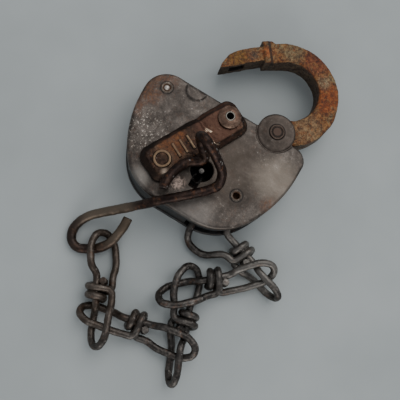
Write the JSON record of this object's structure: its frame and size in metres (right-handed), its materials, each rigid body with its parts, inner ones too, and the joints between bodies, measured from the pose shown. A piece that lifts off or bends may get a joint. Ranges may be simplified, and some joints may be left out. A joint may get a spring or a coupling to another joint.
{
  "type": "chain padlock",
  "caption": "Riveted steel switch padlock with an open swinging shackle, a swinging keyhole cover, and a captive chain of knotted wire links ending in a bent wire hook.",
  "frame": {"origin": "centre of the case's flat back, which lies on the surface", "axes": "+Z out of the front face, +Y from the case towards the shackle, +X to the right seen from the front"},
  "size_m": [0.0943, 0.1562, 0.0418],
  "materials": {
    "case_steel": "worn bare steel, mottled grey-brown",
    "case_side": "dark blue-grey steel",
    "rusty_shackle": "heavy orange and brown rust",
    "cover_steel": "dark brown steel with worn edges",
    "rivet_steel": "worn steel",
    "chain_wire": "dark gunmetal wire",
    "hook_wire": "purplish brown rusted wire",
    "inner_steel": "plain oiled steel",
    "spring_steel": "bright spring steel"
  },
  "bodies": {
    "case": {"back_plate": "case_side", "case_rim": "case_side", "front_plate": "case_steel", "case_rivets": "rivet_steel", "rivet_spacers": "inner_steel", "shackle_pin": "rivet_steel", "cover_rivet": "cover_steel", "cover_washer": "spring_steel", "key_post": "inner_steel", "bolt_guide": "inner_steel", "bolt_spring": "spring_steel", "lever_post": "inner_steel"},
    "shackle": {"shackle": "rusty_shackle"},
    "cover": {"keyhole_cover": "cover_steel"},
    "bolt": {"bolt": "inner_steel"},
    "lever_1": {"lever_1": "inner_steel", "lever_spring_1": "spring_steel"},
    "lever_2": {"lever_2": "inner_steel", "lever_spring_2": "spring_steel"},
    "lever_3": {"lever_3": "inner_steel", "lever_spring_3": "spring_steel"},
    "link_1": {"chain_link_1": "chain_wire"},
    "link_2": {"chain_link_2": "chain_wire"},
    "link_3": {"chain_link_3": "chain_wire"},
    "link_4": {"chain_link_4": "chain_wire"},
    "link_5": {"chain_link_5": "chain_wire"},
    "hook": {"chain_hook": "hook_wire"}
  },
  "joints": [
    {"name": "shackle_swing", "type": "hinge", "parent": "case", "child": "shackle", "pos_m": [0.02, 0.026, 0.0095], "axis": [0, 0, 1], "range_deg": [0, 55]},
    {"name": "cover_swing", "type": "hinge", "parent": "case", "child": "cover", "pos_m": [0, 0.0194, 0.021], "axis": [0, 0, 1], "range_deg": [-28, 80]},
    {"name": "bolt_slide", "type": "slide", "parent": "case", "child": "bolt", "axis": [-1, 0, 0], "range_m": [0, 0.0033]},
    {"name": "lever_1_lift", "type": "hinge", "parent": "case", "child": "lever_1", "pos_m": [0.0175, 0.0058, 0.0089], "axis": [0, 0, 1], "range_deg": [-5, 0], "stiffness_Nm_per_rad": 0.02},
    {"name": "lever_2_lift", "type": "hinge", "parent": "case", "child": "lever_2", "pos_m": [0.0175, 0.0058, 0.0107], "axis": [0, 0, 1], "range_deg": [-5, 0], "stiffness_Nm_per_rad": 0.02},
    {"name": "lever_3_lift", "type": "hinge", "parent": "case", "child": "lever_3", "pos_m": [0.0175, 0.0058, 0.0125], "axis": [0, 0, 1], "range_deg": [-5, 0], "stiffness_Nm_per_rad": 0.02},
    {"name": "link_1_swing", "type": "hinge", "parent": "case", "child": "link_1", "pos_m": [0.0188, -0.0064, 0.0066], "axis": [0, 0, 1], "range_deg": [-1, 6]},
    {"name": "link_2_swing", "type": "hinge", "parent": "link_1", "child": "link_2", "pos_m": [0.0439, -0.0342, 0.005], "axis": [0, 0, 1], "range_deg": [-1, 15]},
    {"name": "link_3_swing", "type": "hinge", "parent": "link_2", "child": "link_3", "pos_m": [0.0177, -0.0448, 0.005], "axis": [0, 0, 1], "range_deg": [-2, 12]},
    {"name": "link_4_swing", "type": "hinge", "parent": "link_3", "child": "link_4", "pos_m": [0.0299, -0.0725, 0.005], "axis": [0, 0, 1], "range_deg": [-1, 24]},
    {"name": "link_5_swing", "type": "hinge", "parent": "link_4", "child": "link_5", "pos_m": [-0.0051, -0.0796, 0.005], "axis": [0, 0, 1], "range_deg": [-20, 20]},
    {"name": "hook_swing", "type": "hinge", "parent": "link_5", "child": "hook", "pos_m": [-0.0163, -0.0505, 0.0036], "axis": [0, 0, 1], "range_deg": [-20, 24]}
  ]
}
